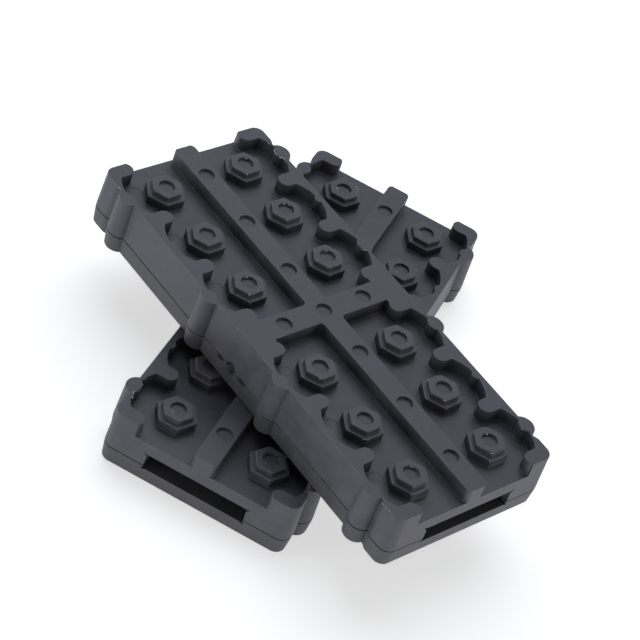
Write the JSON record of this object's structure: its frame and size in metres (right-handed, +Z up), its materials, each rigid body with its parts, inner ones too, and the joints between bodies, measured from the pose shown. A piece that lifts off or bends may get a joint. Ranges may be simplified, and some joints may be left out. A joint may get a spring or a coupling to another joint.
{
  "type": "tire traction mats",
  "caption": "Pair of strap-on tyre traction mats with hexagonal studs, ribs and a strap channel through each, one laid across the other.",
  "frame": {"origin": "the middle of the lower mat's underside, on the ground", "axes": "+Z up; +X along the upper mat, towards the end with screws 3, 4, 7 and 8; the lower mat lies 118 degrees round from it"},
  "size_m": [0.242, 0.256, 0.0643],
  "materials": {
    "tread_plastic": "moulded charcoal plastic, satin, very fine grain, thin bright burrs along its edges",
    "base_plastic": "moulded charcoal plastic, a little duller than the tread",
    "screw_steel": "zinc-plated steel"
  },
  "bodies": {
    "root": {"lower_tread": "tread_plastic", "lower_base": "base_plastic", "lower_screw_1": "screw_steel", "lower_screw_2": "screw_steel", "lower_screw_3": "screw_steel", "lower_screw_4": "screw_steel", "lower_screw_5": "screw_steel", "lower_screw_6": "screw_steel", "lower_screw_7": "screw_steel", "lower_screw_8": "screw_steel", "upper_tread": "tread_plastic", "upper_base": "base_plastic", "upper_screw_1": "screw_steel", "upper_screw_2": "screw_steel", "upper_screw_3": "screw_steel", "upper_screw_4": "screw_steel", "upper_screw_5": "screw_steel", "upper_screw_6": "screw_steel", "upper_screw_7": "screw_steel", "upper_screw_8": "screw_steel"}
  },
  "joints": []
}
